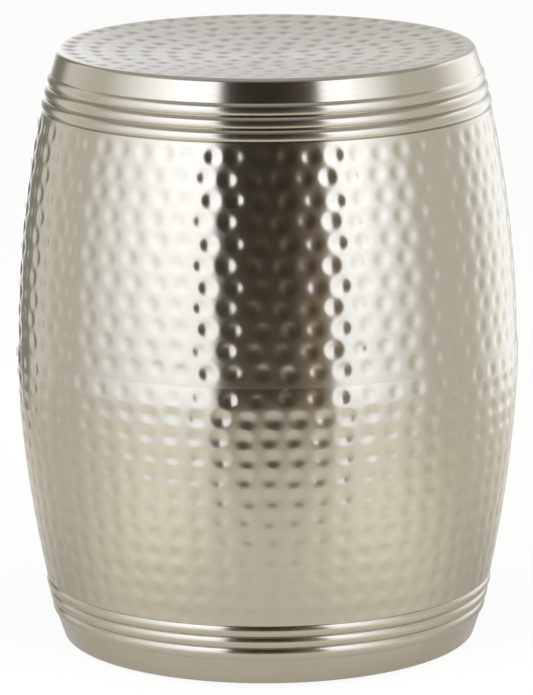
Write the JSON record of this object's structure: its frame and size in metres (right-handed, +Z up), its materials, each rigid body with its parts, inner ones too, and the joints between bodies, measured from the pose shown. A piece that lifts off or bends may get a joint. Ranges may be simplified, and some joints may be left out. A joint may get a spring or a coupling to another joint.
{
  "type": "drum side table",
  "caption": "Barrel-shaped hammered metal drum side table with a shallow dished, dimpled top, rolled beads below the rim and above the foot, and a lapped seam at the belly.",
  "frame": {"origin": "centre of the table on the floor, under its axis", "axes": "+Z up along the drum's axis, -Y towards the viewer of the picture, +X to the viewer's right"},
  "size_m": [0.3763, 0.3764, 0.45],
  "materials": {
    "hammered_nickel": "spun sheet, hammered, nickel plated and satin polished",
    "fibreboard": "raw fibreboard",
    "glide_plastic": "moulded, matt black",
    "screw_steel": "zinc plated"
  },
  "bodies": {
    "root": {"upper_shell": "hammered_nickel", "lower_shell": "hammered_nickel", "base_board": "fibreboard", "glide_front_left": "glide_plastic", "glide_front_right": "glide_plastic", "glide_back_left": "glide_plastic", "glide_back_right": "glide_plastic", "glide_screws": "screw_steel"}
  },
  "joints": []
}
